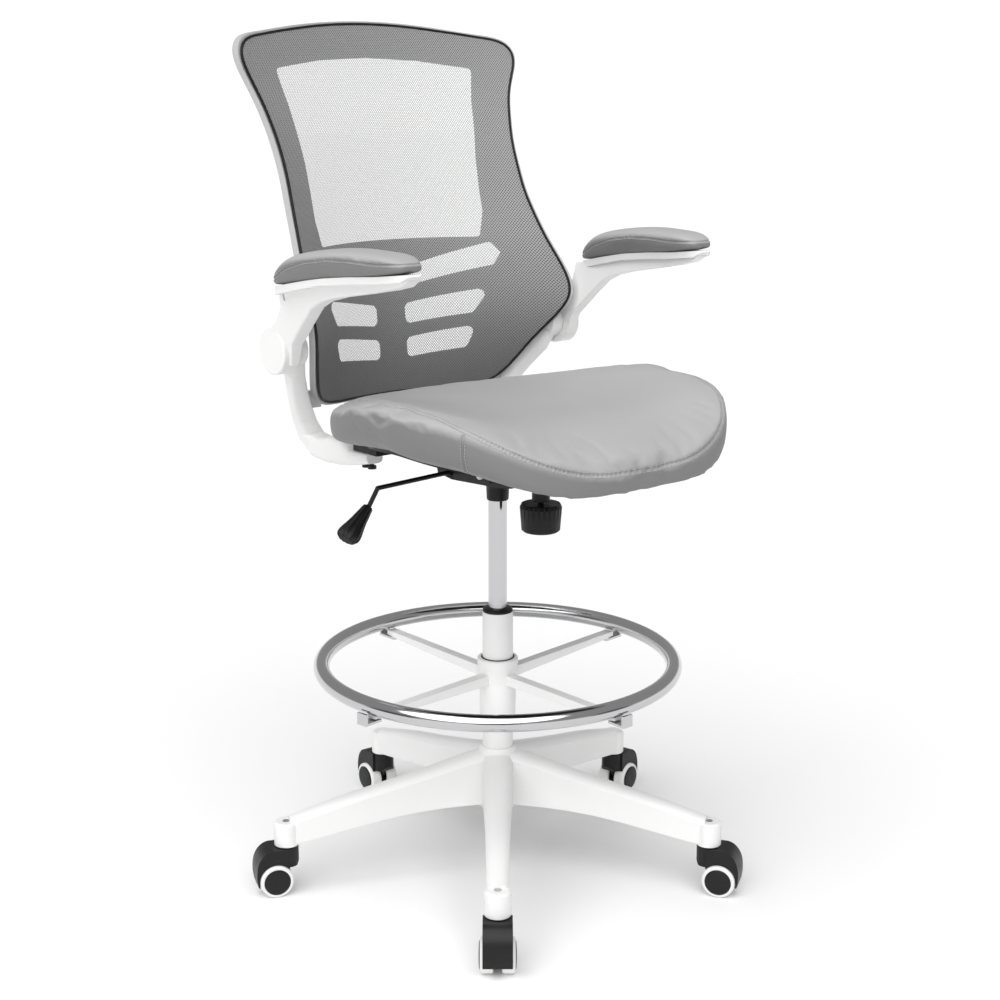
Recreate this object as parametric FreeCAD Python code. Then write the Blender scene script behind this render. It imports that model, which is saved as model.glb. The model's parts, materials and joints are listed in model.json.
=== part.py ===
import FreeCAD, Part
import math
import os

from FreeCAD import Vector

os.makedirs("parts", exist_ok=True)

# ---- driving dimensions, mm; floor z = 0, column axis x = y = 0, sitter faces -Y ----
CASTER_CIRCLE = 330.0
FIRST_LEG_ANGLE = -128.3
LEG_COUNT = 5
FIT = 0.05

WHEEL_RADIUS = 25.0
DISC_RADIUS = 19.7
WHEEL_OFFSET = 20.0
WHEEL_INNER = 5.0
WHEEL_OUTER = 26.0
AXLE_RADIUS = 3.0
STEM_RADIUS = 5.5
HOOD_HALF_WIDTH = 20.5
HOOD_TOP = 73.5
CAP_BOTTOM = 75.0

COLUMN_RADIUS = 23.0
COLUMN_BORE = 20.5
COLUMN_BOTTOM = 100.0
COLUMN_TOP = 405.0
LIFT_RADIUS = 14.0
LIFT_BOTTOM = 268.0
LIFT_TOP = 641.0
ROD_RADIUS = 5.0

RING_RADIUS = 265.0
RING_TUBE = 12.2
RING_HEIGHT = 326.0
RING_HUB_RADIUS = 28.0

TILT_Y = -40.0
TILT_Z = 631.0
LEVER_Y = 42.0
LEVER_Z = 619.0

SEAT_HALF_WIDTH = 276.0
SEAT_HALF_DEPTH = 249.0
SEAT_CENTRE_Y = -72.0
SEAT_POWER = 2.6
PAN_TOP = 680.0
PAN_THICKNESS = 9.0

ARM_PIVOT_Y = 172.0
ARM_PIVOT_Z = 802.5
ARM_HUB_RADIUS = 34.0
ARM_INNER_X = 250.0
ARM_THICKNESS = 22.0
ARM_TOE_IN = 0.083
ARM_LEAN = 0.20
PAD_CENTRE_X = 271.0
PAD_CENTRE_Y = -15.0
PAD_HALF_LENGTH = 139.0
PAD_HALF_WIDTH = 37.0


# ---- shared helpers ----
def cylinder(radius, height, base, axis=Vector(0, 0, 1)):
    return Part.makeCylinder(radius, height, base, axis)


def box(x0, x1, y0, y1, z0, z1):
    return Part.makeBox(x1 - x0, y1 - y0, z1 - z0, Vector(x0, y0, z0))


def fuse(shapes):
    return shapes[0].multiFuse(shapes[1:]).removeSplitter()


def polygon_face(points):
    return Part.Face(Part.makePolygon(points + [points[0]]))


def closed_spline(points):
    curve = Part.BSplineCurve()
    curve.interpolate(Points=points, PeriodicFlag=True)
    return Part.Wire([curve.toShape()])


def open_spline(points):
    curve = Part.BSplineCurve()
    curve.interpolate(points)
    return curve.toShape()


def revolve_profile(points):
    face = polygon_face([Vector(r, 0, z) for r, z in points])
    return face.revolve(Vector(0, 0, 0), Vector(0, 0, 1), 360)


def side_prism(points, x0, x1):
    face = polygon_face([Vector(x0, y, z) for y, z in points])
    return face.extrude(Vector(x1 - x0, 0, 0))


def mirrored(shape):
    return shape.mirror(Vector(0, 0, 0), Vector(1, 0, 0))


def place_at_leg(shape, index):
    placed = shape.copy()
    placed.translate(Vector(CASTER_CIRCLE, 0, 0))
    placed.rotate(Vector(0, 0, 0), Vector(0, 0, 1), leg_angle(index))
    return placed


def leg_angle(index):
    return FIRST_LEG_ANGLE + 360.0 / LEG_COUNT * index


def interpolate(value, table):
    if value <= table[0][0]:
        return table[0][1]
    for (a, fa), (b, fb) in zip(table, table[1:]):
        if value <= b:
            return fa + (fb - fa) * (value - a) / (b - a)
    return table[-1][1]


def save(shape, name):
    shape.exportStep("parts/" + name + ".step")


# ---- five star base ----
def leg_section(r, half_width, bottom, top):
    crown = min(9.0, (top - bottom) * 0.35)
    shoulder = top - crown
    inset = half_width * 0.55
    corners = [(-half_width, bottom), (half_width, bottom), (half_width, shoulder)]
    edges = [Part.makeLine(Vector(r, a, b), Vector(r, c, d))
             for (a, b), (c, d) in zip(corners, corners[1:])]
    arc = Part.BSplineCurve()
    arc.interpolate([Vector(r, half_width, shoulder), Vector(r, inset, top - 1.6),
                     Vector(r, 0, top), Vector(r, -inset, top - 1.6),
                     Vector(r, -half_width, shoulder)])
    edges.append(arc.toShape())
    edges.append(Part.makeLine(Vector(r, -half_width, shoulder),
                               Vector(r, -half_width, bottom)))
    return Part.Wire(edges)


def leg_stations():
    return [(20, 23.0, 106.0, 186.0), (80, 20.5, 106.5, 174.0), (140, 18.5, 104.0, 160.0),
            (200, 17.2, 97.0, 147.5), (260, 16.2, 87.0, 134.0), (326, 15.2, 77.0, 116.5)]


def base_leg():
    outer = Part.makeLoft([leg_section(*s) for s in leg_stations()], True, False)
    hollow = []
    for r, half_width, bottom, top in leg_stations():
        hollow.append(leg_section(min(max(r, 36), 306), half_width - 4.0, bottom - 6.0, top - 5.0))
    return outer.cut(Part.makeLoft(hollow, True, False))


def base_cap():
    body = cylinder(18.6, 36.0, Vector(0, 0, CAP_BOTTOM))
    dome = Part.makeSphere(26.0, Vector(0, 0, 90.0))
    return body.common(dome)


def base_star():
    pieces = [revolve_profile([(0, 98), (33, 98), (33, 106), (31, 108), (31, 176), (28, 188),
                               (25, 192), (0, 192)])]
    for index in range(LEG_COUNT):
        leg = base_leg()
        leg.rotate(Vector(0, 0, 0), Vector(0, 0, 1), leg_angle(index))
        pieces.append(leg)
        pieces.append(place_at_leg(base_cap(), index))
    star = fuse(pieces)
    star = star.cut(cylinder(COLUMN_RADIUS, 120, Vector(0, 0, 90)))
    for index in range(LEG_COUNT):
        socket = cylinder(STEM_RADIUS, 37.0, Vector(0, 0, CAP_BOTTOM - 1))
        star = star.cut(place_at_leg(socket, index))
    return star


# ---- casters ----
def hood_outline():
    axle = (WHEEL_OFFSET, WHEEL_RADIUS)
    top = open_spline([Vector(24, 0, HOOD_TOP), Vector(37, 0, 68.5), Vector(45.5, 0, 57),
                       Vector(49, 0, 42), Vector(49, 0, 28)])
    corners = [(49, 28), (47.5, 18), (44, 17), (axle[0], axle[1]), (-9, 38), (-16.5, 50),
               (-16.5, HOOD_TOP), (24, HOOD_TOP)]
    edges = [top]
    for a, b in zip(corners, corners[1:]):
        edges.append(Part.makeLine(Vector(a[0], 0, a[1]), Vector(b[0], 0, b[1])))
    return Part.Face(Part.Wire(edges))


def caster_hood():
    face = hood_outline()
    face.translate(Vector(0, -HOOD_HALF_WIDTH, 0))
    body = face.extrude(Vector(0, 2 * HOOD_HALF_WIDTH, 0))
    neck = cylinder(17.5, 30, Vector(0, 0, HOOD_TOP - 30))
    body = body.cut(box(-20, 0, -30, 30, 10, 80)).fuse(body.common(neck))
    y_axis = Vector(0, 1, 0)
    for start, length in ((4.0, 30.0), (-34.0, 30.0)):
        body = body.cut(cylinder(25.8, length, Vector(WHEEL_OFFSET, start, WHEEL_RADIUS), y_axis))
    web = cylinder(11.0, 8.0, Vector(WHEEL_OFFSET, -4, WHEEL_RADIUS), y_axis)
    strut = box(2, 28, -4, 4, 30, 56)
    body = fuse([body, web, strut])
    body = body.cut(cylinder(AXLE_RADIUS, 10, Vector(WHEEL_OFFSET, -5, WHEEL_RADIUS), y_axis))
    return body.cut(cylinder(STEM_RADIUS + FIT, 30, Vector(0, 0, 54)))


def caster_axle():
    return cylinder(AXLE_RADIUS, 44, Vector(WHEEL_OFFSET, -22, WHEEL_RADIUS), Vector(0, 1, 0))


def wheel_profile(points):
    face = polygon_face([Vector(WHEEL_OFFSET, v, WHEEL_RADIUS + r) for r, v in points])
    centre = Vector(WHEEL_OFFSET, 0, WHEEL_RADIUS)
    return face.revolve(centre, Vector(0, 1, 0), 360)


def caster_wheel():
    bore = AXLE_RADIUS + FIT
    return wheel_profile([(bore, WHEEL_INNER), (8, WHEEL_INNER), (8, 7), (DISC_RADIUS, 7),
                          (DISC_RADIUS, 24.6), (17, WHEEL_OUTER - 0.4), (8, WHEEL_OUTER),
                          (0, WHEEL_OUTER), (0, 22.6), (bore, 22.6)])


def caster_tread():
    return wheel_profile([(DISC_RADIUS, 6), (23.4, 6), (24.6, 7.4), (WHEEL_RADIUS, 9.5),
                          (WHEEL_RADIUS, 20), (24.5, 22.6), (22.8, 24.2), (DISC_RADIUS, 24.2)])


def flipped(shape):
    return shape.mirror(Vector(0, 0, 0), Vector(0, 1, 0))


def caster_stem():
    shank = cylinder(STEM_RADIUS, 55, Vector(0, 0, 56))
    collar = cylinder(9.0, 1.1, Vector(0, 0, CAP_BOTTOM - 1.1))
    return shank.fuse(collar)


def save_casters():
    stems = [place_at_leg(caster_stem(), i) for i in range(LEG_COUNT)]
    save(Part.makeCompound(stems), "caster_stems")
    pieces = {"hood": caster_hood(), "axle": caster_axle(), "wheel_left": caster_wheel(),
              "tread_left": caster_tread(), "wheel_right": flipped(caster_wheel()),
              "tread_right": flipped(caster_tread())}
    for index in range(LEG_COUNT):
        for name, shape in pieces.items():
            save(place_at_leg(shape, index), "caster_" + str(index + 1) + "_" + name)


# ---- gas lift ----
def column_tube():
    tube = cylinder(COLUMN_RADIUS, COLUMN_TOP - COLUMN_BOTTOM, Vector(0, 0, COLUMN_BOTTOM))
    tube = tube.cut(cylinder(COLUMN_BORE, 400, Vector(0, 0, COLUMN_BOTTOM + 4)))
    return tube.cut(cylinder(ROD_RADIUS + FIT, 10, Vector(0, 0, COLUMN_BOTTOM - 2)))


def column_bushing():
    bore = LIFT_RADIUS + FIT
    return revolve_profile([(bore, 325), (COLUMN_BORE, 325), (COLUMN_BORE, COLUMN_TOP),
                            (22.6, COLUMN_TOP), (22.6, 408), (20.5, 410.5), (16, 411.5),
                            (bore, 411.5)])


def piston_rod():
    head = 11.9
    return revolve_profile([(0, 101), (ROD_RADIUS, 101), (ROD_RADIUS, 104.1), (14, 104.1),
                            (14, 108), (ROD_RADIUS, 108), (ROD_RADIUS, 408), (head, 408),
                            (head, 424), (0, 424)])


def piston_cylinder():
    shell = revolve_profile([(0, LIFT_BOTTOM), (13, LIFT_BOTTOM), (LIFT_RADIUS, LIFT_BOTTOM + 1),
                             (LIFT_RADIUS, 584), (13.2, LIFT_TOP), (0, LIFT_TOP)])
    bore = cylinder(12.0, 300, Vector(0, 0, LIFT_BOTTOM + 12))
    rod_hole = cylinder(ROD_RADIUS + FIT, 20, Vector(0, 0, LIFT_BOTTOM - 2))
    return shell.cut(bore).cut(rod_hole)


# ---- foot ring ----
def foot_ring():
    return Part.makeTorus(RING_RADIUS, RING_TUBE, Vector(0, 0, RING_HEIGHT))


def spoke_angles():
    return [8.0, 93.0, 189.0, 272.0]


def spoke(angle):
    bottom = [(20, 295), (20, 311), (255, 313.2), (262, 313.2), (262, 306), (250, 304)]
    face = polygon_face([Vector(r, -7.5, z) for r, z in bottom])
    bar = face.extrude(Vector(0, 15, 0))
    bar.rotate(Vector(0, 0, 0), Vector(0, 0, 1), angle)
    return bar


def foot_ring_spider():
    hub = revolve_profile([(20, 243), (24, 239.5), (RING_HUB_RADIUS - 3, 239.5),
                           (RING_HUB_RADIUS - 1, 243), (RING_HUB_RADIUS, 296),
                           (30.5, 312), (31, 331), (29.5, 333), (20, 333)])
    body = fuse([hub] + [spoke(angle) for angle in spoke_angles()])
    body = body.cut(cylinder(24.9, 200, Vector(0, 0, 200)))
    return body.cut(Part.makeTorus(RING_RADIUS, RING_TUBE + 0.02, Vector(0, 0, RING_HEIGHT)))


def ring_clip(angle):
    plate = box(250.5, 281, -9, 9, 300.5, 304)
    lip = box(277, 281, -9, 9, 304, 318)
    clip = plate.fuse(lip)
    clip = clip.cut(Part.makeTorus(RING_RADIUS, RING_TUBE + 0.02, Vector(0, 0, RING_HEIGHT)))
    screw = cylinder(4.5, 2.5, Vector(254, 0, 298))
    clip = clip.fuse(screw)
    clip.rotate(Vector(0, 0, 0), Vector(0, 0, 1), angle)
    return clip


def foot_ring_clips():
    return Part.makeCompound([ring_clip(angle) for angle in spoke_angles()])


def foot_ring_collet():
    inner = COLUMN_RADIUS + FIT
    sleeve = revolve_profile([(inner, 233), (25.4, 233), (25.4, 239), (24.85, 239), (24.85, 334),
                              (inner, 334)])
    return sleeve


# ---- mechanism ----
def mechanism_side():
    return [(-118, 625), (-118, 653), (-112, 656), (-52, 656), (75, 632), (78, 628), (74, 612),
            (40, 607.5), (-60, 614), (-100, 619)]


def mechanism_housing():
    body = side_prism(mechanism_side(), -55, 55)
    cavity = side_prism([(-114, 627), (-114, 651), (-53, 652), (72, 628), (70, 615.5),
                         (38, 611), (-60, 617.5), (-98, 622.5)], -52, 52)
    body = body.cut(cavity)
    boss = revolve_profile([(0, 577), (15.6, 577), (16.4, 579), (17, 596), (24, 614), (24, 643),
                            (0, 643)])
    nose = cylinder(13, 33, Vector(0, -100, 594))
    pivot_lug = cylinder(11, 110, Vector(-55, TILT_Y, TILT_Z), Vector(1, 0, 0))
    body = fuse([body, boss, nose, pivot_lug])
    body = body.common(box(-60, 60, -130, 90, 560, 656))
    body = body.cut(revolve_profile([(0, 560), (14, 560), (14, 584), (13.2, LIFT_TOP),
                                     (0, LIFT_TOP)]))
    body = body.cut(cylinder(5.0, 120, Vector(-60, TILT_Y, TILT_Z), Vector(1, 0, 0)))
    slot = box(-58, -24, LEVER_Y - 8.1, LEVER_Y + 8.1, LEVER_Z - 8.1, LEVER_Z + 8.1)
    body = body.cut(slot)
    thread = cylinder(4.0 + FIT, 50, Vector(0, -100, 590))
    return body.cut(thread)


def tilt_pivot_pin():
    shaft = cylinder(5.0, 126, Vector(-63, TILT_Y, TILT_Z), Vector(1, 0, 0))
    head = cylinder(8.0, 3, Vector(-66, TILT_Y, TILT_Z), Vector(1, 0, 0))
    return shaft.fuse(head)


def tension_knob():
    body = revolve_profile([(0, 0), (25, 0), (28, 2.5), (30.5, 36), (28, 41), (0, 41)])
    for i in range(24):
        groove = cylinder(1.6, 42, Vector(30.4, 0, 2))
        groove.rotate(Vector(0, 0, 0), Vector(0, 0, 1), i * 15.0)
        body = body.cut(groove)
    bolt = cylinder(4.0, 36, Vector(0, 0, 41))
    knob = body.fuse(bolt)
    knob.translate(Vector(0, -100, 549))
    return knob


def lock_slider():
    block = box(-54, -30, LEVER_Y - 8, LEVER_Y + 8, LEVER_Z - 8, LEVER_Z + 8)
    block = block.cut(cylinder(4.5 + FIT, 20, Vector(-42, LEVER_Y - 10, LEVER_Z),
                               Vector(0, 1, 0)))
    mouth = side_prism([(LEVER_Y - 3.8, LEVER_Z - 5.6), (LEVER_Y + 3.8, LEVER_Z - 5.6),
                        (LEVER_Y + 3.8, LEVER_Z + 6.0), (LEVER_Y - 3.8, LEVER_Z + 6.0)],
                       -60, -42)
    return block.cut(mouth)


def lever_path():
    return [Vector(-42, LEVER_Y, LEVER_Z), Vector(-188, 38, 614), Vector(-204, 40, 586),
            Vector(-212, 38, 578)]


def lever_rod():
    points = lever_path()
    radius = 3.4
    parts = []
    for a, b in zip(points, points[1:]):
        parts.append(cylinder(radius, (b - a).Length, a, b - a))
    for p in points[1:-1]:
        parts.append(Part.makeSphere(radius, p))
    parts.append(cylinder(4.5, 15, Vector(-42, LEVER_Y - 7.5, LEVER_Z), Vector(0, 1, 0)))
    return fuse(parts)


def grip_section(distance, half_width, half_depth, start, axis, across, depth):
    centre = start + axis * distance
    points = []
    for i in range(20):
        angle = 2 * math.pi * i / 20
        ripple = 1.0 + 0.05 * math.cos(10 * angle)
        points.append(centre + across * (half_width * ripple * math.cos(angle))
                      + depth * (half_depth * ripple * math.sin(angle)))
    return closed_spline(points)


def lever_grip():
    start = Vector(-204, 40.5, 587)
    end = Vector(-258, 19, 551)
    axis = (end - start).normalize()
    depth = Vector(-0.7, -0.7, 0.2)
    depth = (depth - axis * depth.dot(axis)).normalize()
    across = axis.cross(depth)
    stations = [(0, 7.5, 7), (8, 8.5, 8), (26, 11, 9), (46, 15, 10), (60, 15.5, 9), (66, 11, 6)]
    wires = [grip_section(d, w, t, start, axis, across, depth) for d, w, t in stations]
    grip = Part.makeLoft(wires, True, False)
    a, b = lever_path()[1:3]
    grip = grip.cut(cylinder(3.4, (b - a).Length, a, b - a))
    tip = lever_path()[3] - lever_path()[2]
    grip = grip.cut(Part.makeSphere(3.4, lever_path()[2]))
    return grip.cut(cylinder(3.4, tip.Length, lever_path()[2], tip))


# ---- seat ----
def seat_plate():
    plate = box(-100, 100, -135, 85, 660, 663)
    for x0 in (-60.5, 57.5):
        plate = plate.fuse(side_prism([(-80, 660), (-56, 619), (-24, 619), (20, 660)],
                                      x0, x0 + 3))
    plate = plate.cut(cylinder(5.0 + FIT, 140, Vector(-70, TILT_Y, TILT_Z), Vector(1, 0, 0)))
    return plate


def seat_side(x):
    return (max(0.0, abs(x) - 56.0) / 195.0) ** 2


def seat_front(y):
    return (max(0.0, -169.0 - y) / 150.0) ** 2


def seat_top_shift(x, y):
    rear = max(0.0, y + 40.0) / 150.0
    fade = 1.0 - 0.25 * min(max((y + 60.0) / 120.0, 0.0), 1.0)
    drop = 5.0 + 11.0 * min(seat_side(x), 1.0)
    return 38.0 * seat_side(x) * fade - 50.0 * seat_front(y) - drop * rear ** 2


def seat_bottom_shift(x, y):
    rear = max(0.0, y + 40.0) / 150.0
    side_lift = interpolate(y, [(-200, 9.0), (-60, 16.0), (20, 10.0), (110, -4.0)])
    return side_lift * seat_side(x) - 49.0 * seat_front(y) - 5.0 * rear ** 2


def superellipse_point(angle, half_width, half_depth, power):
    c, s = math.cos(angle), math.sin(angle)
    x = half_width * math.copysign(abs(c) ** (2 / power), c)
    y = half_depth * math.copysign(abs(s) ** (2 / power), s)
    return x, y


def seat_slab(bottom, depth):
    rows = []
    for i in range(16):
        y = -330.0 + 35.0 * i
        rows.append([Vector(x, y, bottom + seat_bottom_shift(x, y))
                     for x in (-290, -240, -190, -140, -95, -50, 0, 50, 95, 140, 190, 240, 290)])
    surface = Part.BSplineSurface()
    surface.interpolate(rows)
    return surface.toShape().extrude(Vector(0, 0, depth))


def pan_pads():
    centre = box(-105, 105, -138, 95, 663, PAN_TOP - 5)
    sides = [box(sign * 142 - 16, sign * 142 + 16, 84, 144, 648, PAN_TOP - 10) for sign in (1, -1)]
    return [centre] + sides


def seat_prism(scale):
    outline = []
    for i in range(28):
        angle = 2 * math.pi * (i + 0.5) / 28
        x, y = superellipse_point(angle, SEAT_HALF_WIDTH * scale, SEAT_HALF_DEPTH * scale,
                                  SEAT_POWER)
        outline.append(Vector(x, y + SEAT_CENTRE_Y, 560))
    return Part.Face(closed_spline(outline)).extrude(Vector(0, 0, 240))


def seat_pan():
    shell = seat_slab(PAN_TOP - PAN_THICKNESS, PAN_THICKNESS - 2.0).common(seat_prism(0.8))
    pan = shell.multiFuse(pan_pads())
    return pan.cut(arm_bracket()).cut(mirrored(arm_bracket()))


def seat_section(reach, fullness):
    y = SEAT_CENTRE_Y + SEAT_HALF_DEPTH * reach
    half = SEAT_HALF_WIDTH * (1 - abs(reach) ** SEAT_POWER) ** (1 / SEAT_POWER)
    lower_lift = (1 - fullness) * 20.0
    upper_drop = (1 - fullness) * 24.0
    outline = [(0.0, 0.0), (0.2, 0.0), (0.38, 0.0), (0.5, 0.0), (0.62, 0.0), (0.75, 0.0),
               (0.86, 0.0), (0.95, 0.02), (0.99, 0.15), (1.0, 0.36),
               (1.0, 0.56), (0.975, 0.75), (0.89, 0.88), (0.7, 0.955), (0.4, 0.99), (0.0, 1.0)]
    outline += [(-a, b) for a, b in reversed(outline[1:-1])]
    points = []
    for a, b in outline:
        x = a * half
        low = PAN_TOP + 0.6 + lower_lift + seat_bottom_shift(x, y)
        high = PAN_TOP + 53.0 - upper_drop + seat_top_shift(x, y)
        points.append(Vector(x, y, low + b * (high - low)))
    return closed_spline(points)


def seat_cushion():
    ends = [(0.996, 0.35), (0.982, 0.62), (0.95, 0.84), (0.88, 1.0), (0.72, 1.0), (0.5, 1.0),
            (0.25, 1.0)]
    stations = [(-s, f) for s, f in ends] + [(0.0, 1.0)] + list(reversed(ends))
    return Part.makeLoft([seat_section(s, f) for s, f in stations], True, False)


def bolt(x, y, z, length):
    shank = cylinder(3.0, length, Vector(x, y, z))
    head = cylinder(6.5, 5, Vector(x, y, z - 5))
    socket = cylinder(3.0, 3, Vector(x, y, z - 6))
    return shank.fuse(head).cut(socket)


def bolt_places():
    plate = [(x, y, 660, 11) for x in (-82, 82) for y in (-112, 68)]
    bracket = [(x, y, 627, 36) for x in (-142, 142) for y in (119, 134)]
    return plate + bracket


def seat_bolts():
    return Part.makeCompound([bolt(*place) for place in bolt_places()])


def with_bolt_holes(shape):
    for x, y, z, length in bolt_places():
        shape = shape.cut(cylinder(3.0, length + 0.05, Vector(x, y, z - 0.02)))
        shape = shape.cut(cylinder(6.6, 5.1, Vector(x, y, z - 5.1)))
    return shape


# ---- backrest ----
def back_y(x, z):
    middle = interpolate(z, [(690, 256.0), (717, 258.0), (754, 260.0), (800, 265.0),
                             (840, 270.0), (950, 280.0), (1052, 292.0), (1100, 297.0),
                             (1200, 322.0), (1262, 333.0), (1275, 335.0)])
    curl = interpolate(z, [(690, 0.0012), (717, 0.0016), (745, 0.0020), (773, 0.0023),
                           (798, 0.0026), (844, 0.0028), (890, 0.00255), (939, 0.00225),
                           (979, 0.0020), (1015, 0.00177), (1052, 0.0016), (1089, 0.0013),
                           (1123, 0.00113), (1155, 0.00096), (1183, 0.00086),
                           (1275, 0.00072)])
    return middle - curl * x * x


def smooth_back_y(x, z):
    reach = 24.0
    samples = [back_y(x, z + reach * k / 3.0) * w
               for k, w in zip(range(-3, 4), (1, 2, 3, 4, 3, 2, 1))]
    return sum(samples) / 16.0


def back_slab(front, depth):
    rows = []
    for i in range(21):
        z = 690.0 + 585.0 * i / 20
        rows.append([Vector(x, smooth_back_y(x, z) + front, z)
                     for x in (-262, -210, -158, -105, -52, 0, 52, 105, 158, 210, 262)])
    surface = Part.BSplineSurface()
    surface.interpolate(rows)
    return surface.toShape().extrude(Vector(0, depth, 0))


def back_outline_half():
    return [(80, 703.0), (135, 704.5), (158, 710.0), (172, 722.0), (186, 745.0), (199, 773.0),
            (213, 800.0), (228, 828.0), (237, 850.0), (239, 872.0), (235, 900.0),
            (226, 939.0), (219, 979.0), (214.5, 1015.0), (213, 1052.0), (214.5, 1089.0),
            (220, 1123.0), (228, 1155.0), (239, 1183.0), (247.5, 1206.0), (248, 1220.0),
            (241, 1232.0), (226, 1239.5), (200, 1244.0), (134, 1253.0), (70, 1259.5)]


def back_outline(offset):
    half = back_outline_half()
    loop = [(0.0, 703.0)] + half + [(0.0, 1262.0)] + [(-x, z) for x, z in reversed(half)]
    count = len(loop)
    points = []
    for i in range(count):
        ax, az = loop[i - 1]
        bx, bz = loop[(i + 1) % count]
        length = math.hypot(bx - ax, bz - az)
        x = loop[i][0] + offset * (bz - az) / length
        z = loop[i][1] - offset * (bx - ax) / length
        gap = min(math.hypot(x - px, z - pz) for px, pz in loop)
        if gap > abs(offset) - 0.4:
            points.append(Vector(x, 0, z))
    return closed_spline(points)


def back_prism(offset):
    face = Part.Face(back_outline(offset))
    return face.extrude(Vector(0, 400, 0))


def rounded_opening(corners, radius):
    wire = Part.makePolygon([Vector(x, 0, z) for x, z in corners + [corners[0]]])
    prism = Part.Face(wire).extrude(Vector(0, 400, 0))
    edges = [e for e in prism.Edges if abs(e.Vertexes[0].Z - e.Vertexes[-1].Z) < 1e-6
             and abs(e.Vertexes[0].X - e.Vertexes[-1].X) < 1e-6]
    return prism.makeFillet(radius, edges)


def back_openings():
    window = [(-148, 938), (148, 938), (157, 978), (157, 1015), (159, 1060), (170, 1145),
              (181, 1196), (90, 1208), (0, 1212), (-90, 1208), (-181, 1196), (-170, 1145),
              (-159, 1060), (-157, 1015), (-157, 978)]
    openings = [rounded_opening(window, 7.0)]
    rows = [[(28, 863), (160, 895), (172, 914), (160, 931), (28, 893)],
            [(26, 806), (128, 820), (155, 861), (26, 838)],
            [(25, 754), (121, 765), (133, 801), (25, 785)]]
    for row, radius in zip(rows, (6.0, 9.0, 9.0)):
        openings.append(rounded_opening(row, radius))
        openings.append(mirrored(rounded_opening(row, radius)))
    return openings


def back_mesh():
    return back_slab(0.0, 1.0).common(back_prism(-0.6))


def back_panel():
    panel = back_slab(1.3, 2.5).common(back_prism(-1.0))
    return panel.cut(Part.makeCompound(back_openings()))


def back_frame():
    ring = back_slab(4.1, 16.0).common(back_prism(4.5))
    ring = ring.cut(back_prism(-15.0))
    ear = box(162, 196, 222.5, 231, 702, 728).cut(arm_bracket())
    return fuse([ring, ear, mirrored(ear)])


# ---- arms ----
def arm_pin_bore(clearance):
    return cylinder(6.0 + clearance, 600, Vector(-300, ARM_PIVOT_Y, ARM_PIVOT_Z),
                    Vector(1, 0, 0))


def bracket_section(x, y, z, half_x, half_t, ny, nz):
    normal = Vector(0, ny, nz).normalize()
    centre = Vector(x, y, z)
    side = Vector(1, 0, 0)
    points = []
    for i in range(16):
        a, b = superellipse_point(2 * math.pi * (i + 0.5) / 16, half_x, half_t, 3.4)
        points.append(centre + side * a + normal * b)
    return closed_spline(points)


def arm_bracket():
    stations = [(237, 172, 792, 11, 17, 0.98, 0.2), (230, 186, 766, 15, 14, 0.83, 0.55),
                (215, 205, 740, 16, 13, 0.76, 0.65), (199, 223, 713, 17, 13, 0.84, 0.54),
                (183, 237, 684, 18, 13, 0.96, 0.28), (170, 240, 658, 19, 14, 0.95, -0.3),
                (160, 222, 641, 20, 19, 0.5, -0.87), (155, 198, 641, 21, 21, 0.15, -1),
                (150, 172, 640, 20, 20, 0.0, -1), (146, 150, 635, 18, 12, -0.1, -1),
                (142, 112, 640, 14, 9, -0.1, -1)]
    bar = Part.makeLoft([bracket_section(*s) for s in stations], True, True)
    knuckle = cylinder(24.0, 20.7, Vector(ARM_INNER_X - 21.0, ARM_PIVOT_Y, ARM_PIVOT_Z),
                       Vector(1, 0, 0))
    return fuse([bar, knuckle]).cut(arm_pin_bore(0.0))


def sheared(shape, per_y, y0, per_z, z0):
    matrix = FreeCAD.Matrix(1, per_y, per_z, -per_y * y0 - per_z * z0, 0, 1, 0, 0, 0, 0, 1, 0)
    return shape.transformGeometry(matrix)


def arm_side_profile():
    return [(134, 898), (110, 901), (73, 909), (13, 920), (-50, 927), (-105, 931), (-148, 936),
            (-153, 930), (-138, 921), (-108, 914), (-58, 905), (2, 895), (40, 886), (64, 875),
            (96, 847), (128, 817), (140, 784), (188, 782), (202, 802), (182, 828), (154, 851),
            (137, 872)]


def arm_hub():
    width = ARM_THICKNESS + 4.0
    hub = cylinder(ARM_HUB_RADIUS, width, Vector(ARM_INNER_X, ARM_PIVOT_Y, ARM_PIVOT_Z),
                   Vector(1, 0, 0))
    return hub.makeFillet(3.0, [e for e in hub.Edges if e.BoundBox.XMin > ARM_INNER_X + 10
                                and e.BoundBox.XLength < 1])


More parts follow.
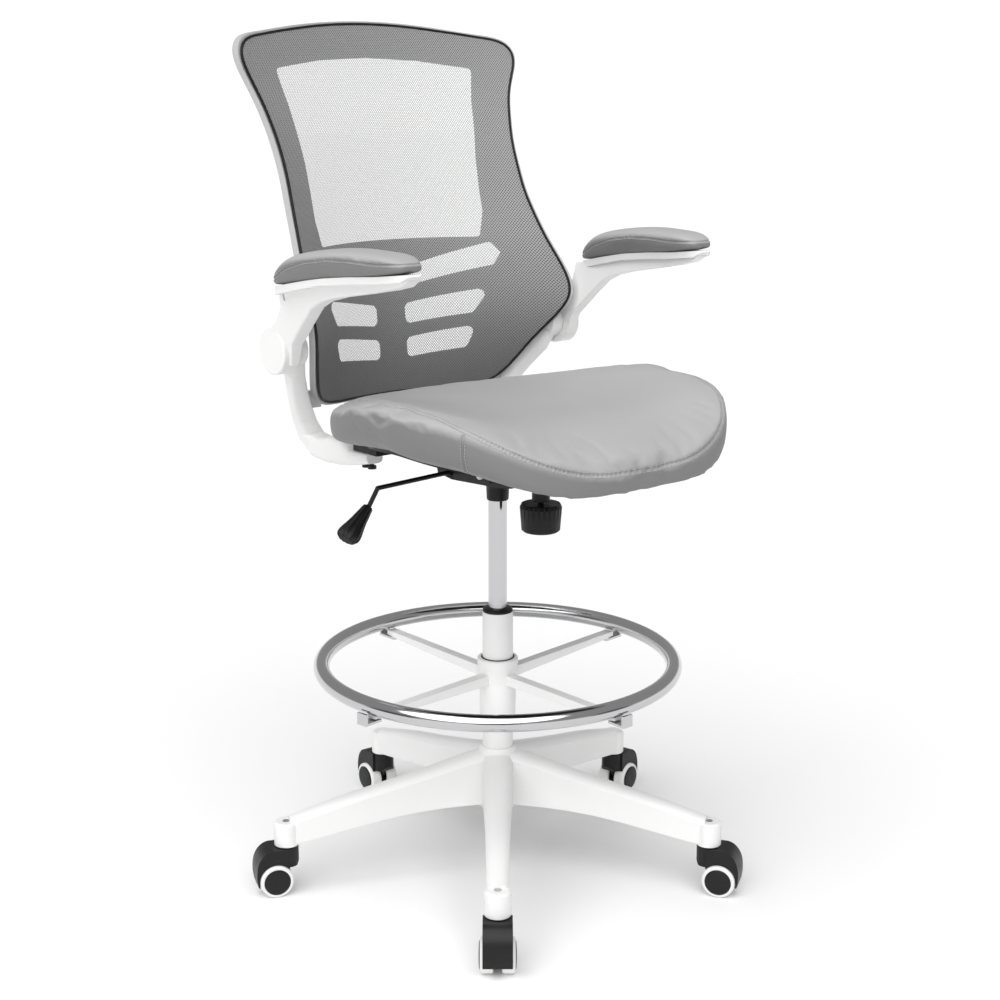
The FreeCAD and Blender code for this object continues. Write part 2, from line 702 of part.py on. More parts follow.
def arm():
    body = side_prism(arm_side_profile(), ARM_INNER_X - 1.3, ARM_INNER_X - 1.3 + ARM_THICKNESS)
    body = body.makeFillet(3.0, [e for e in body.Edges if e.BoundBox.XLength < 1
                                 and e.BoundBox.XMin > ARM_INNER_X + ARM_THICKNESS - 3])
    body = sheared(body, ARM_TOE_IN, ARM_PIVOT_Y, ARM_LEAN, ARM_PIVOT_Z)
    body = body.cut(cylinder(75.0, 60, Vector(ARM_INNER_X - 60, ARM_PIVOT_Y, ARM_PIVOT_Z),
                             Vector(1, 0, 0)))
    shelf = side_prism([(129, 902), (104, 905), (73, 911), (13, 922), (-50, 929), (-105, 934),
                        (-152, 941), (-158, 936), (-148, 929), (-105, 924), (-50, 919),
                        (13, 912), (73, 900), (126, 889)], PAD_CENTRE_X - 24, PAD_CENTRE_X + 24)
    shelf = sheared(shelf.common(shelf_plan()), ARM_TOE_IN, PAD_CENTRE_Y, 0.0, 0.0)
    solid = fuse([body, arm_hub(), shelf])
    solid = solid.cut(pad_lower_space()).cut(arm_pad())
    solid = solid.cut(box(ARM_INNER_X + 26, ARM_INNER_X + 50, 120.5, 124, 881, 891))
    bore = cylinder(6.0 + FIT, 24, Vector(ARM_INNER_X - 2, ARM_PIVOT_Y, ARM_PIVOT_Z),
                    Vector(1, 0, 0))
    return solid.cut(bore)


def shelf_plan():
    outline = []
    for i in range(20):
        x, y = superellipse_point(2 * math.pi * (i + 0.5) / 20, 25.0, PAD_HALF_LENGTH + 6, 3.2)
        outline.append(Vector(PAD_CENTRE_X + x, PAD_CENTRE_Y + y, 860))
    return Part.Face(closed_spline(outline)).extrude(Vector(0, 0, 100))


def pad_base(y):
    return interpolate(y, [(-175, 943.0), (-150, 939.0), (-105, 934.0), (-50, 929.5), (13, 922.5),
                           (73, 911.5), (108, 904.5), (165, 892.0)])


def pad_crown(y):
    return interpolate(y, [(-170, 944.0), (-154, 952.0), (-135, 961.0), (-89, 966.0),
                           (-17, 964.0), (59, 953.0), (100, 939.0), (124, 918.0),
                           (140, 904.0)])


def pad_lower_space():
    stations = (180, 108, 73, 13, -50, -105, -150, -190)
    profile = [(y, pad_base(y) - 0.3) for y in stations] + [(-190, 1000), (180, 1000)]
    return side_prism(profile, 200, 340)


def pad_section(y, half_width):
    low = pad_base(y)
    high = max(pad_crown(y), low + 2.0)
    thick = high - low
    middle = PAD_CENTRE_X + ARM_TOE_IN * (y - PAD_CENTRE_Y)
    outline = [(0.0, 0.0), (0.72, 0.0), (0.95, 0.12), (1.0, 0.42), (0.93, 0.72),
               (0.66, 0.92), (0.0, 1.0)]
    outline += [(-a, b) for a, b in reversed(outline[1:-1])]
    return closed_spline([Vector(middle + a * half_width, y, low + b * thick)
                          for a, b in outline])


def arm_pad():
    stations = [(-1.0, 0.4), (-0.96, 0.58), (-0.87, 0.78), (-0.63, 0.94), (-0.3, 1.0), (0.1, 1.0),
                (0.5, 0.95), (0.78, 0.82), (0.93, 0.64), (1.0, 0.44)]
    sections = [pad_section(PAD_CENTRE_Y + PAD_HALF_LENGTH * y, PAD_HALF_WIDTH * w)
                for y, w in stations]
    return Part.makeLoft(sections, True, False)


def arm_pivot_pins():
    pin = cylinder(6.0, 45, Vector(ARM_INNER_X - 23, ARM_PIVOT_Y, ARM_PIVOT_Z), Vector(1, 0, 0))
    head = cylinder(9.0, 4, Vector(ARM_INNER_X - 25, ARM_PIVOT_Y, ARM_PIVOT_Z), Vector(1, 0, 0))
    pin = pin.fuse(head)
    return Part.makeCompound([pin, mirrored(pin)])


# ---- write every piece ----
def save_base_group():
    save(base_star(), "base_star")
    save_casters()
    save(column_tube(), "column_tube")
    save(column_bushing(), "column_bushing")
    save(piston_rod(), "piston_rod")
    save(piston_cylinder(), "piston_cylinder")
    save(foot_ring(), "foot_ring")
    save(foot_ring_spider(), "foot_ring_spider")
    save(foot_ring_clips(), "foot_ring_clips")
    save(foot_ring_collet(), "foot_ring_collet")


def save_mechanism_group():
    save(mechanism_housing(), "mechanism_housing")
    save(tilt_pivot_pin(), "tilt_pivot_pin")
    save(tension_knob(), "tension_knob")
    save(lock_slider(), "lock_slider")
    save(lever_rod(), "lever_rod")
    save(lever_grip(), "lever_grip")


def save_seat_group():
    save(with_bolt_holes(seat_plate()), "seat_plate")
    save(with_bolt_holes(seat_pan()), "seat_pan")
    save(seat_cushion(), "seat_cushion")
    save(seat_bolts(), "seat_bolts")
    save(back_frame(), "back_frame")
    save(back_panel(), "back_panel")
    save(back_mesh(), "back_mesh")


def save_arm_group():
    bracket = with_bolt_holes(arm_bracket())
    save(bracket, "arm_bracket_left")
    save(mirrored(with_bolt_holes(arm_bracket())), "arm_bracket_right")
    save(arm(), "arm_left")
    save(mirrored(arm()), "arm_right")
    save(arm_pad(), "arm_pad_left")
    save(mirrored(arm_pad()), "arm_pad_right")
    save(arm_pivot_pins(), "arm_pivot_pins")


save_base_group()
save_mechanism_group()
save_seat_group()
save_arm_group()
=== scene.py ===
import bpy
import json
import math
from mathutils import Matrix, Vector
from mathutils.bvhtree import BVHTree
from mathutils.geometry import delaunay_2d_cdt
from mathutils.kdtree import KDTree


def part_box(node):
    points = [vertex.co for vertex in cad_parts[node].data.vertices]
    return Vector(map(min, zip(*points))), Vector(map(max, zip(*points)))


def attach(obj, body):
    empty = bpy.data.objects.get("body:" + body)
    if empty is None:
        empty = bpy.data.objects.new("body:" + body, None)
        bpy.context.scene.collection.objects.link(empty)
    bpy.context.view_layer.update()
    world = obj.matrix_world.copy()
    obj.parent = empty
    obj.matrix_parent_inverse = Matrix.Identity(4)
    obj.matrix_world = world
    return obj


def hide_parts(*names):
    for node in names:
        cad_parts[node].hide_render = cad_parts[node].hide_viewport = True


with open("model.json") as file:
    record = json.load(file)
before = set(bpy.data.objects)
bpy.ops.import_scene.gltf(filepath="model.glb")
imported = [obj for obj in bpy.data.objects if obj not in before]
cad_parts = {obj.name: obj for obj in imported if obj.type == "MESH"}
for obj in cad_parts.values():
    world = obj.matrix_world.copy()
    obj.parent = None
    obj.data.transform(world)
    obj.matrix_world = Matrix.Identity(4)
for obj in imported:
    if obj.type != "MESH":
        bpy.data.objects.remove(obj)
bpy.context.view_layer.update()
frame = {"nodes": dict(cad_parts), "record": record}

nodes = frame["nodes"]


# ---------------------------------------------------------------- materials
MIX_A, MIX_B, MIX_RESULT = 6, 7, 2  # the colour sockets of a Mix node
BLACK = (0.006, 0.006, 0.0065)
BLACK_STEEL = (0.006, 0.006, 0.006)


def new_material(name, color, roughness, metallic=0.0, **sockets):
    mat = bpy.data.materials.new(name)
    mat.use_nodes = True
    tree = mat.node_tree
    bsdf = tree.nodes["Principled BSDF"]
    bsdf.inputs["Base Color"].default_value = (*color, 1.0)
    bsdf.inputs["Roughness"].default_value = roughness
    bsdf.inputs["Metallic"].default_value = metallic
    for key, value in sockets.items():
        bsdf.inputs[key.replace("_", " ")].default_value = value
    return mat, tree, bsdf


def add(tree, kind, **values):
    node = tree.nodes.new(kind)
    for key, value in values.items():
        if key in node.inputs:
            node.inputs[key].default_value = value
        else:
            setattr(node, key, value)
    return node


def coordinates(tree, scale=(1, 1, 1), rotation=(0, 0, 0)):
    coord = add(tree, "ShaderNodeTexCoord")
    mapping = add(tree, "ShaderNodeMapping")
    mapping.inputs["Scale"].default_value = scale
    mapping.inputs["Rotation"].default_value = rotation
    tree.links.new(coord.outputs["Object"], mapping.inputs["Vector"])
    return mapping.outputs["Vector"]


def noise(tree, vector, scale, detail=3.0):
    node = add(tree, "ShaderNodeTexNoise", Scale=scale, Detail=detail)
    tree.links.new(vector, node.inputs["Vector"])
    return node.outputs["Fac"]


def ramp(tree, value, low, high, low_out=0.0, high_out=1.0):
    node = add(tree, "ShaderNodeMapRange")
    node.inputs["From Min"].default_value = low
    node.inputs["From Max"].default_value = high
    node.inputs["To Min"].default_value = low_out
    node.inputs["To Max"].default_value = high_out
    tree.links.new(value, node.inputs["Value"])
    return node.outputs["Result"]


def mix_color(tree, factor, a, b):
    """A blend of two colours; each is a tuple or another node's output."""
    node = add(tree, "ShaderNodeMix", data_type="RGBA")
    for socket, value in ((node.inputs[MIX_A], a), (node.inputs[MIX_B], b)):
        if isinstance(value, tuple):
            socket.default_value = (*value, 1.0)
        else:
            tree.links.new(value, socket)
    tree.links.new(factor, node.inputs[0])
    return node.outputs[MIX_RESULT]


def bump(tree, bsdf, height, strength, distance, edge_radius=0.0):
    node = add(tree, "ShaderNodeBump", Strength=strength, Distance=distance)
    tree.links.new(height, node.inputs["Height"])
    if edge_radius:
        edge = add(tree, "ShaderNodeBevel", samples=4)
        edge.inputs["Radius"].default_value = edge_radius
        tree.links.new(edge.outputs["Normal"], node.inputs["Normal"])
    tree.links.new(node.outputs["Normal"], bsdf.inputs["Normal"])


def moulded_plastic(name, color, roughness, edge_radius=0.0015, grain=0.12, gloss=0.5):
    mat, tree, bsdf = new_material(name, color, roughness, Specular_IOR_Level=gloss)
    vector = coordinates(tree)
    tint = mix_color(tree, noise(tree, vector, 14.0), tuple(c * 0.965 for c in color), color)
    tree.links.new(tint, bsdf.inputs["Base Color"])
    rough = ramp(tree, noise(tree, vector, 60.0), 0.3, 0.7, roughness - 0.05, roughness + 0.06)
    tree.links.new(rough, bsdf.inputs["Roughness"])
    bump(tree, bsdf, noise(tree, vector, 1400.0, 2.0), grain, 0.0002, edge_radius)
    return mat


def chrome_plate(name, color, roughness):
    mat, tree, bsdf = new_material(name, color, roughness, 1.0)
    vector = coordinates(tree)
    rough = ramp(tree, noise(tree, vector, 35.0), 0.3, 0.7, roughness * 0.6, roughness * 1.6)
    tree.links.new(rough, bsdf.inputs["Roughness"])
    bump(tree, bsdf, noise(tree, vector, 25.0, 1.0), 0.03, 0.001, 0.0006)
    return mat


def leather(name, color, painted_side_shade):
    mat, tree, bsdf = new_material(name, color, 0.55, Specular_IOR_Level=0.38)
    vector = coordinates(tree)
    cloud = noise(tree, vector, 7.0, 4.0)
    tint = mix_color(tree, ramp(tree, cloud, 0.3, 0.7), tuple(c * 0.95 for c in color), color)
    # Painted shade: faces that point sideways or down take the darker colour and faces that
    # point up keep the lighter one, so the cover's sides look shaded.
    normal = add(tree, "ShaderNodeNewGeometry")
    split = add(tree, "ShaderNodeSeparateXYZ")
    tree.links.new(normal.outputs["Normal"], split.inputs[0])
    tint = mix_color(tree, ramp(tree, split.outputs["Z"], 0.15, 0.75), painted_side_shade, tint)
    tree.links.new(tint, bsdf.inputs["Base Color"])
    pores = add(tree, "ShaderNodeTexVoronoi", Scale=900.0, feature="DISTANCE_TO_EDGE")
    tree.links.new(vector, pores.inputs["Vector"])
    grain = add(tree, "ShaderNodeMath", operation="MULTIPLY_ADD")
    tree.links.new(noise(tree, vector, 260.0, 4.0), grain.inputs[0])
    grain.inputs[1].default_value = 0.6
    tree.links.new(ramp(tree, pores.outputs["Distance"], 0.0, 0.25), grain.inputs[2])
    bump(tree, bsdf, grain.outputs[0], 0.16, 0.0004)
    return mat


MATERIALS = {
    "white_nylon": moulded_plastic("white_nylon", (0.83, 0.83, 0.825), 0.42),
    # Painted shade: the back frame's white plastic is coloured mid grey to stand in for the
    # shadow on it.
    "back_frame_plastic": moulded_plastic("back_frame_plastic", (0.50, 0.50, 0.50), 0.42),
    "column_paint": moulded_plastic("column_paint", (0.80, 0.80, 0.795), 0.33, 0.001, 0.05),
    "black_plastic": moulded_plastic("black_plastic", BLACK, 0.45, 0.001, 0.12, 0.28),
    "black_steel": moulded_plastic("black_steel", BLACK_STEEL, 0.42, 0.001, 0.05, 0.28),
    "steel": chrome_plate("steel", (0.55, 0.55, 0.56), 0.28),
    "chrome_tube": chrome_plate("chrome_tube", (0.56, 0.56, 0.57), 0.10),
    # the second colour is painted shade for the leather's sides
    "grey_leather": leather("grey_leather", (0.42, 0.42, 0.422), (0.19, 0.19, 0.192)),
    "grey_panel": moulded_plastic("grey_panel", (0.105, 0.105, 0.108), 0.6),
    "grey_mesh": moulded_plastic("grey_mesh", (0.3, 0.3, 0.3), 0.8),
    "caster_black": moulded_plastic("caster_black", BLACK, 0.4, 0.0012, 0.06, 0.32),
    "caster_tread": moulded_plastic("caster_tread", (0.80, 0.80, 0.79), 0.5, 0.001),
}
THREAD = moulded_plastic("sewing_thread", (0.58, 0.58, 0.58), 0.7)
for part in frame["record"]["subparts"]:
    mesh = nodes[part["node"]].data
    mesh.materials.clear()
    mesh.materials.append(MATERIALS[part["material_slot"]])

# ---------------------------------------------------------------- camera, floor and light
scene = bpy.context.scene
camera_data = bpy.data.cameras.new("camera")
camera = bpy.data.objects.new("camera", camera_data)
scene.collection.objects.link(camera)
camera.location = (-1.5652, -1.9818, 1.1857)
camera.rotation_euler = (math.radians(90 - 13.579), 0, math.radians(-38.3))
camera_data.lens = 63.263
camera_data.sensor_width = 36.0
camera_data.shift_x = 0.00235
scene.camera = camera

floor_mesh = bpy.data.meshes.new("floor")
FLOOR_HALF = 30
floor_mesh.from_pydata([(-FLOOR_HALF, -FLOOR_HALF, 0), (FLOOR_HALF, -FLOOR_HALF, 0),
                        (FLOOR_HALF, FLOOR_HALF, 0), (-FLOOR_HALF, FLOOR_HALF, 0)],
                       [], [(0, 1, 2, 3)])
floor = bpy.data.objects.new("floor", floor_mesh)
scene.collection.objects.link(floor)
floor_mat, _, _ = new_material("floor_white", (0.94, 0.94, 0.94), 0.9)
floor_mesh.materials.append(floor_mat)

# direction, where the strip begins and is full as a dot product, and its brightness
DARK_STRIPS = (((-0.62, -0.785, 0.0), 0.955, 0.985, 0.10),
               ((-0.97, 0.24, 0.0), 0.93, 0.97, 0.20),
               ((0.55, -0.835, 0.0), 0.95, 0.98, 0.20))


def studio_world():
    """Bright low horizon, a dimmer dome and three dark strips that show as reflections."""
    world = bpy.data.worlds.new("studio")
    world.use_nodes = True
    tree = world.node_tree
    coord = add(tree, "ShaderNodeTexCoord")
    split = add(tree, "ShaderNodeSeparateXYZ")
    tree.links.new(coord.outputs["Generated"], split.inputs[0])
    level = ramp(tree, split.outputs["Z"], 0.05, 0.16, 1.06, 0.36)
    for direction, start, end, dim in DARK_STRIPS:
        dot = add(tree, "ShaderNodeVectorMath", operation="DOT_PRODUCT")
        tree.links.new(coord.outputs["Generated"], dot.inputs[0])
        dot.inputs[1].default_value = direction
        strip = ramp(tree, dot.outputs["Value"], start, end, 1.0, dim)
        product = add(tree, "ShaderNodeMath", operation="MULTIPLY")
        tree.links.new(level, product.inputs[0])
        tree.links.new(strip, product.inputs[1])
        level = product.outputs[0]
    tree.links.new(level, tree.nodes["Background"].inputs["Strength"])
    tree.nodes["Background"].inputs["Color"].default_value = (1, 1, 1, 1)
    scene.world = world


studio_world()
sun_data = bpy.data.lights.new("overhead", "SUN")
sun_data.energy = 3.05
sun_data.angle = math.radians(80)
sun = bpy.data.objects.new("overhead", sun_data)
sun.rotation_euler = (math.radians(36), 0, math.radians(-52))
scene.collection.objects.link(sun)


# ---------------------------------------------------------------- mesh helpers
def link(name, mesh, body, slot):
    """A new smooth piece that rides on a body."""
    obj = bpy.data.objects.new(name, mesh)
    scene.collection.objects.link(obj)
    mesh.materials.append(MATERIALS[slot])
    mesh.polygons.foreach_set("use_smooth", [True] * len(mesh.polygons))
    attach(obj, body)
    return obj


def tree_of(mesh):
    return BVHTree.FromPolygons([v.co for v in mesh.vertices],
                                [p.vertices for p in mesh.polygons])


def tube(points, radius, sides=8, closed=True):
    """A round tube along points, as a list of vertices and a list of faces."""
    verts, faces, count = [], [], len(points)
    normal = None
    for i, p in enumerate(points):
        before = points[(i - 1) % count] if closed or i else p
        after = points[(i + 1) % count] if closed or i < count - 1 else p
        tangent = (after - before).normalized()
        if normal is None:
            normal = tangent.orthogonal().normalized()
        normal = (normal - tangent * normal.dot(tangent)).normalized()
        across = tangent.cross(normal)
        for k in range(sides):
            a = 2 * math.pi * k / sides
            verts.append(p + (normal * math.cos(a) + across * math.sin(a)) * radius)
    for i in range(count if closed else count - 1):
        j = (i + 1) % count
        for k in range(sides):
            m = (k + 1) % sides
            faces.append((i * sides + k, j * sides + k, j * sides + m, i * sides + m))
    if not closed:
        faces.append(tuple(reversed(range(sides))))
        faces.append(tuple((count - 1) * sides + k for k in range(sides)))
    return verts, faces


def resample(points, step, closed=True):
    """Evenly spaced points, about a step apart, along a line."""
    loop = points + points[:1] if closed else points
    lengths = [(b - a).length for a, b in zip(loop, loop[1:])]
    total = sum(lengths)
    count = max(2, round(total / step))
    result, index, passed = [], 0, 0.0
    for i in range(count if closed else count + 1):
        target = min(total * i / count, total - 1e-9)
        while passed + lengths[index] < target:
            passed += lengths[index]
            index += 1
        result.append(loop[index].lerp(loop[index + 1], (target - passed) / lengths[index]))
    return result


def thread_mesh(name, rows, radius, stitch, pitch):
    """Short stitches along each row of points."""
    verts, faces = [], []
    for points in rows:
        for start in resample(points, pitch, closed=False)[:-1]:
            near = min(range(len(points) - 1), key=lambda i: (points[i] - start).length_squared)
            along = (points[near + 1] - points[near]).normalized()
            ends = [start, start + along * stitch * 0.5, start + along * stitch]
            v, f = tube(ends, radius, 5, closed=False)
            faces += [tuple(i + len(verts) for i in face) for face in f]
            verts += v
    mesh = bpy.data.meshes.new(name)
    mesh.from_pydata(verts, [], faces)
    return mesh


def apply_all(obj):
    """Bakes the modifiers into the mesh."""
    bpy.context.view_layer.update()
    graph = bpy.context.evaluated_depsgraph_get()
    mesh = bpy.data.meshes.new_from_object(obj.evaluated_get(graph))
    obj.modifiers.clear()
    old = obj.data
    obj.data = mesh
    bpy.data.meshes.remove(old)


# ---------------------------------------------------------------- stuffed pieces
SWELL_FRAMES = 16


def stuffed(node, name, body, voxel, shrink, cap):
    """A padded cover that starts a little inside the CAD solid and swells by cloth pressure."""
    mesh = nodes[node].data.copy()
    mesh.name = name
    obj = bpy.data.objects.new(name, mesh)
    scene.collection.objects.link(obj)
    remesh = obj.modifiers.new("remesh", "REMESH")
    remesh.mode = "VOXEL"
    remesh.voxel_size = voxel
    smooth = obj.modifiers.new("smooth", "SMOOTH")
    smooth.iterations = 6
    inset = obj.modifiers.new("inset", "DISPLACE")
    inset.strength = -shrink
    inset.mid_level = 0.0
    apply_all(obj)
    start = [v.co.copy() for v in obj.data.vertices]
    swell(obj)
    for v, rest in zip(obj.data.vertices, start):
        move = v.co - rest
        if move.length > cap:
            v.co = rest + move * (cap / move.length)
    relax = obj.modifiers.new("relax", "SMOOTH")
    relax.iterations = 3
    fine = obj.modifiers.new("fine", "SUBSURF")
    fine.levels = fine.render_levels = 1
    apply_all(obj)
    obj.data.materials.clear()
    obj.data.materials.append(MATERIALS["grey_leather"])
    obj.data.polygons.foreach_set("use_smooth", [True] * len(obj.data.polygons))
    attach(obj, body)
    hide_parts(node)
    return obj


def swell(obj):
    cloth = obj.modifiers.new("cloth", "CLOTH")
    cloth.settings.use_pressure = True
    cloth.settings.uniform_pressure_force = 4.0
    cloth.settings.effector_weights.gravity = 0.0
    cloth.settings.quality = 5
    cloth.settings.tension_stiffness = 40.0
    cloth.settings.compression_stiffness = 40.0
    cloth.collision_settings.use_self_collision = False
    for frame_number in range(1, SWELL_FRAMES + 1):
        scene.frame_set(frame_number)
    apply_all(obj)
    scene.frame_set(1)


def groove(obj, lines, depth, width):
    """Presses a sewn seam into the cover along the lines."""
    points = [p for line in lines for p in line]
    near = KDTree(len(points))
    for i, p in enumerate(points):
        near.insert(p, i)
    near.balance()
    normals = [v.normal.copy() for v in obj.data.vertices]
    for v, normal in zip(obj.data.vertices, normals):
        distance = near.find(v.co)[2]
        if distance < 3 * width:
            v.co -= normal * depth * math.exp(-((distance / width) ** 2))


def wrap_line(surface, points, inward, lift=0.0):
    """Points cast onto a cover from outside, along the direction that inward gives."""
    result, normals = [], []
    for p in points:
        direction = inward(p)
        hit, normal, _, _ = surface.ray_cast(p - direction * 0.25, direction)
        if hit is not None:
            result.append(hit + normal * lift)
            normals.append(normal)
    return result, normals


def sew(name, rows, radius, stitch, pitch, body):
    """Stitches of sewing thread along the rows."""
    obj = link(name, thread_mesh(name, rows, radius, stitch, pitch), body, "grey_leather")
    obj.data.materials.clear()
    obj.data.materials.append(THREAD)


def stitch_rows(line, normals, offset, lift):
    """Two rows of points, one on each side of a seam."""
    rows = [[], []]
    count = len(line)
    for i in range(count):
        along = (line[min(i + 1, count - 1)] - line[max(i - 1, 0)]).normalized()
        side = along.cross(normals[i]).normalized()
        rows[0].append(line[i] + side * offset + normals[i] * lift)
        rows[1].append(line[i] - side * offset + normals[i] * lift)
    return rows


# ---------------------------------------------------------------- seat cushion
SEAT_MID = Vector((0.0, -0.072, 0.0))


def oval(angle, half_x, half_y, power):
    """A point on a superellipse."""
    c, s = math.cos(angle), math.sin(angle)
    x = half_x * math.copysign(abs(c) ** (2 / power), c)
    y = half_y * math.copysign(abs(s) ** (2 / power), s)
    return x, y


def seat_height(x, y, part):
    """Height of a line that runs round the cushion at a given part of its thickness."""
    side = (max(0.0, abs(x) - 0.056) / 0.195) ** 2
    front = (max(0.0, -0.169 - y) / 0.150) ** 2
    rear = (max(0.0, y + 0.040) / 0.150) ** 2
    fade = 1.0 - 0.25 * min(max((y + 0.060) / 0.120, 0.0), 1.0)
    low = 0.6806 + 0.012 * side - 0.049 * front - 0.005 * rear
    high = 0.733 + 0.038 * side * fade - 0.050 * front
    high -= (0.005 + 0.011 * min(side, 1.0)) * rear
    return low + part * (high - low)


def seat_loop(count=260):
    points = []
    for i in range(count):
        x, y = oval(2 * math.pi * (i + 0.5) / count, 0.262, 0.242, 2.6)
        points.append(Vector((x, y + SEAT_MID.y, seat_height(x, y + SEAT_MID.y, 0.80))))
    return points


def towards_seat_axis(point):
    return Vector((SEAT_MID.x - point.x, SEAT_MID.y - point.y, 0.0)).normalized()


def seat_cover():
    obj = stuffed("seat_cushion", "seat_cover", "seat",
                  voxel=0.005, shrink=0.0025, cap=0.006)
    surface = tree_of(obj.data)
    welt, normals = wrap_line(surface, seat_loop(), towards_seat_axis)
    corners = []
    for sign in (-1, 1):
        points = [Vector((sign * 0.238, -0.228, 0.668 + 0.001 * k)) for k in range(70)]
        corners.append(wrap_line(surface, points, towards_seat_axis))
    groove(obj, [welt] + [line for line, _ in corners], depth=0.0020, width=0.0022)
    rows = stitch_rows(welt + welt[:1], normals + normals[:1], offset=0.0032, lift=0.0001)
    for line, side in corners:
        rows += stitch_rows(line, side, offset=0.0030, lift=0.0001)
    sew("seat_stitching", rows, radius=0.00045, stitch=0.0034, pitch=0.0046, body="seat")


seat_cover()


# ---------------------------------------------------------------- arm pads
PAD_SEAM = [(-0.155, 0.9515), (-0.112, 0.9505), (-0.068, 0.9515), (-0.020, 0.9500),
            (0.031, 0.9430), (0.075, 0.9310), (0.108, 0.9150), (0.130, 0.9070)]
PAD_X, PAD_Y = 0.271, -0.015
PAD_LEAN = 0.083
PAD_POINTS = 160


def pad_seam_height(y):
    """Height of the seam round an arm pad, from its (y, z) table."""
    for (a, low), (b, high) in zip(PAD_SEAM, PAD_SEAM[1:]):
        if y <= b:
            return low + (high - low) * (y - a) / (b - a)
    return PAD_SEAM[-1][1]


def pad_cover(side):
    sign = 1 if side == "left" else -1
    node = "arm_pad_" + side
    obj = stuffed(node, "arm_cover_" + side, "arm_" + side,
                  voxel=0.003, shrink=0.0015, cap=0.004)
    low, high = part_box(node)
    middle_y = (low.y + high.y) / 2
    points = []
    for i in range(PAD_POINTS):
        x, y = oval(2 * math.pi * (i + 0.5) / PAD_POINTS, 0.040, 0.137, 2.5)
        y += PAD_Y
        lean = sign * (PAD_X + PAD_LEAN * (y - PAD_Y))
        points.append(Vector((lean + x, y, pad_seam_height(y))))

    def inward(p):
        flat = Vector((sign * PAD_X - p.x, (middle_y - p.y) * 0.25, 0.0))
        return flat.normalized()

    surface = tree_of(obj.data)
    seam, normals = wrap_line(surface, points, inward)
    groove(obj, [seam], depth=0.0011, width=0.0018)
    rows = stitch_rows(seam + seam[:1], normals + normals[:1], offset=0.0022, lift=0.0001)
    sew("arm_stitching_" + side, rows, radius=0.00036, stitch=0.003, pitch=0.0042,
        body="arm_" + side)


pad_cover("left")
pad_cover("right")


# ---------------------------------------------------------------- stretched back mesh
# one half of the backrest's outline as (x, z), from the bottom to the top
BACK_HALF = [(0.080, 0.7030), (0.135, 0.7045), (0.158, 0.7100), (0.172, 0.7220),
             (0.186, 0.7450), (0.199, 0.7730), (0.213, 0.8000), (0.228, 0.8280),
             (0.237, 0.8500), (0.239, 0.8720), (0.235, 0.9000), (0.226, 0.9390),
             (0.219, 0.9790), (0.2145, 1.0150), (0.213, 1.0520), (0.2145, 1.0890),
             (0.220, 1.1230), (0.228, 1.1550), (0.239, 1.1830), (0.2475, 1.2060),
             (0.248, 1.2200), (0.241, 1.2320), (0.226, 1.2395), (0.200, 1.2440),
             (0.134, 1.2530), (0.070, 1.2595)]
BACK_BOTTOM, BACK_MIDDLE, BACK_TOP = 0.703, 0.98, 1.262
RIM_SCALE = 0.9985
RIM_CLEARANCE = 1.6e-5  # squared distance that inner points keep from the rim
FABRIC_PITCH = 0.0065
BEAD_RADIUS = 0.0021


def back_loop(step):
    """The backrest's outline seen from the front, as evenly spaced (x, z) points."""
    mirrored = [(-x, z) for x, z in reversed(BACK_HALF)]
    corners = [(0.0, BACK_BOTTOM)] + BACK_HALF + [(0.0, BACK_TOP)] + mirrored
    curve = bpy.data.curves.new("outline", "CURVE")
    curve.dimensions = "3D"
    spline = curve.splines.new("BEZIER")
    spline.bezier_points.add(len(corners) - 1)
    for point, (x, z) in zip(spline.bezier_points, corners):
        point.co = (x, 0, z)
        point.handle_left_type = point.handle_right_type = "AUTO"
    spline.use_cyclic_u = True
    spline.resolution_u = 8
    holder = bpy.data.objects.new("outline", curve)
    mesh = bpy.data.meshes.new_from_object(holder)
    points = [v.co.copy() for v in mesh.vertices]
    bpy.data.objects.remove(holder)
    bpy.data.curves.remove(curve)
    bpy.data.meshes.remove(mesh)
    return resample(points, step)


def back_surface():
    """A function that gives the CAD mesh's front face y at (x, z), carried on past its edge."""
    surface = tree_of(nodes["back_mesh"].data)
    centre = Vector((0.0, 0.0, BACK_MIDDLE))

    def hit(x, z):
        found = surface.ray_cast(Vector((x, -0.5, z)), Vector((0, 1, 0)))[0]
        return None if found is None else found.y

    def depth(x, z):
        y = hit(x, z)
        if y is not None:
            return y
        inward = (centre - Vector((x, 0, z))).normalized()
        near = hit(x + inward.x * 0.004, z + inward.z * 0.004)
        far = hit(x + inward.x * 0.012, z + inward.z * 0.012)
        return near + (near - far) * 0.5

    return depth


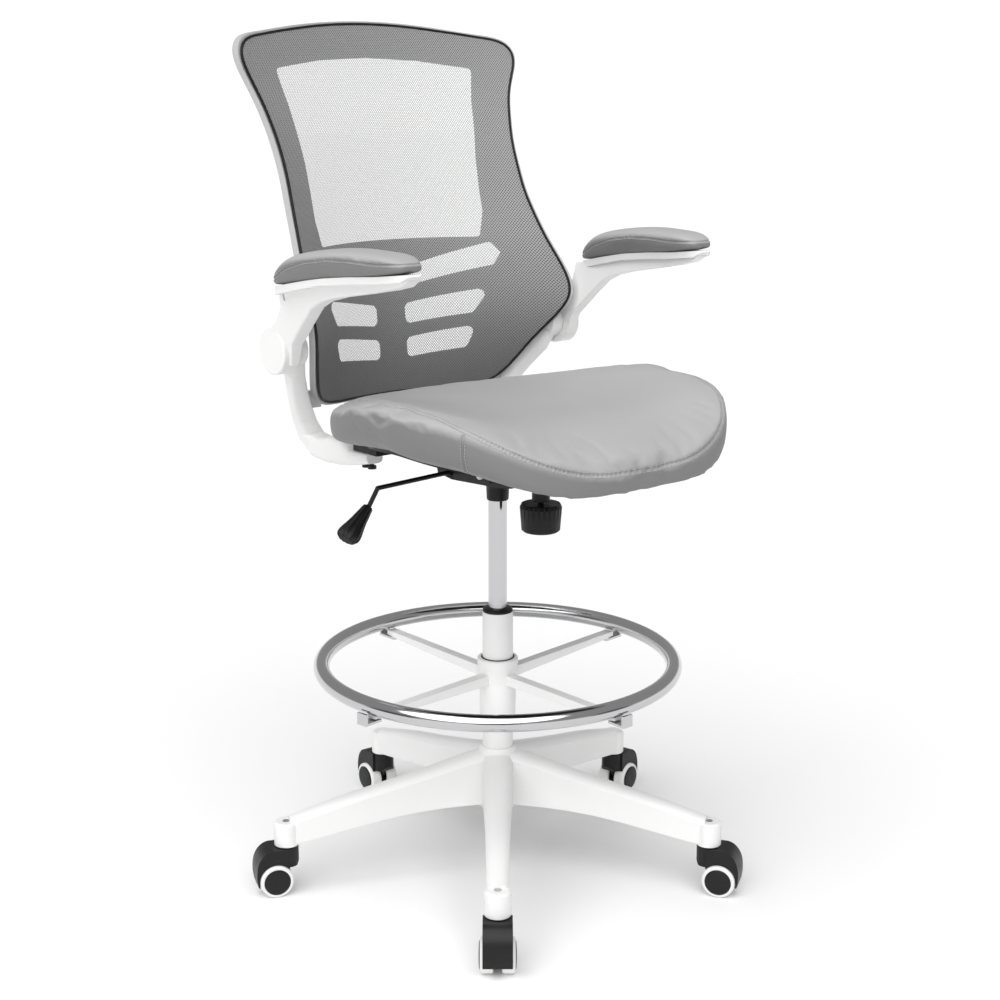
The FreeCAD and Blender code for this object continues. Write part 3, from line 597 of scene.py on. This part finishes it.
def back_fabric():
    depth = back_surface()
    loop = back_loop(0.006)
    rim = [(p.x * RIM_SCALE, BACK_MIDDLE + (p.z - BACK_MIDDLE) * RIM_SCALE) for p in loop]
    points = [Vector(p) for p in rim]
    count = len(points)
    edges = [(i, (i + 1) % count) for i in range(count)]
    for row in range(90):
        for col in range(-40, 41):
            x = (col + 0.5 * (row % 2)) * FABRIC_PITCH
            z = 0.700 + row * FABRIC_PITCH
            if not inside(x, z, rim):
                continue
            if min((x - a) ** 2 + (z - b) ** 2 for a, b in rim) > RIM_CLEARANCE:
                points.append(Vector((x, z)))
    found = delaunay_2d_cdt(points, edges, [], 1, 1e-7)
    verts = [Vector((p.x, depth(p.x, p.y), p.y)) for p in found[0]]
    mesh = bpy.data.meshes.new("back_fabric")
    mesh.from_pydata(verts, [], [tuple(f) for f in found[2]])
    obj = link("back_fabric", mesh, "seat", "grey_mesh")
    mesh.materials.clear()
    mesh.materials.append(WOVEN)
    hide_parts("back_mesh")
    bead = [Vector((p.x, depth(p.x, p.z) + 0.001, p.z)) for p in loop]
    for _ in range(3):
        bead = [(bead[i - 1] + bead[i] * 2 + bead[(i + 1) % len(bead)]) / 4
                for i in range(len(bead))]
    verts, faces = tube(bead, BEAD_RADIUS)
    mesh = bpy.data.meshes.new("back_bead")
    mesh.from_pydata(verts, [], faces)
    link("back_bead", mesh, "seat", "black_plastic")


def inside(x, z, loop):
    """Whether a point lies in a closed outline."""
    result = False
    for (ax, az), (bx, bz) in zip(loop, loop[1:] + loop[:1]):
        if (az > z) != (bz > z) and x < (bx - ax) * (z - az) / (bz - az) + ax:
            result = not result
    return result


def woven_mesh():
    """Open knitted mesh: crossing threads with holes between them."""
    mat, tree, bsdf = new_material("woven_mesh", (0.40, 0.40, 0.405), 0.75)
    threads = []
    for degrees in (38, -38):
        vector = coordinates(tree, rotation=(0, math.radians(degrees), 0))
        wave = add(tree, "ShaderNodeTexWave", wave_type="BANDS", bands_direction="X",
                   wave_profile="SIN", Scale=108.0, Distortion=0.0)
        tree.links.new(vector, wave.inputs["Vector"])
        threads.append(wave.outputs["Fac"])
    high = add(tree, "ShaderNodeMath", operation="MAXIMUM")
    tree.links.new(threads[0], high.inputs[0])
    tree.links.new(threads[1], high.inputs[1])
    cover = ramp(tree, high.outputs[0], 0.70, 0.86)
    tree.links.new(cover, bsdf.inputs["Alpha"])
    # Painted shade: the threads darken towards the bottom of the back, from z 0.95 down to z
    # 0.70, in place of the shade that falls there.
    height = add(tree, "ShaderNodeSeparateXYZ")
    tree.links.new(coordinates(tree), height.inputs[0])
    painted_shade = mix_color(tree, ramp(tree, height.outputs["Z"], 0.70, 0.95), (0.18, 0.18, 0.182),
                      (0.44, 0.44, 0.445))
    tree.links.new(painted_shade, bsdf.inputs["Base Color"])
    bump(tree, bsdf, high.outputs[0], 0.3, 0.0005)
    return mat


WOVEN = woven_mesh()
back_fabric()

scene.view_settings.view_transform = "Standard"
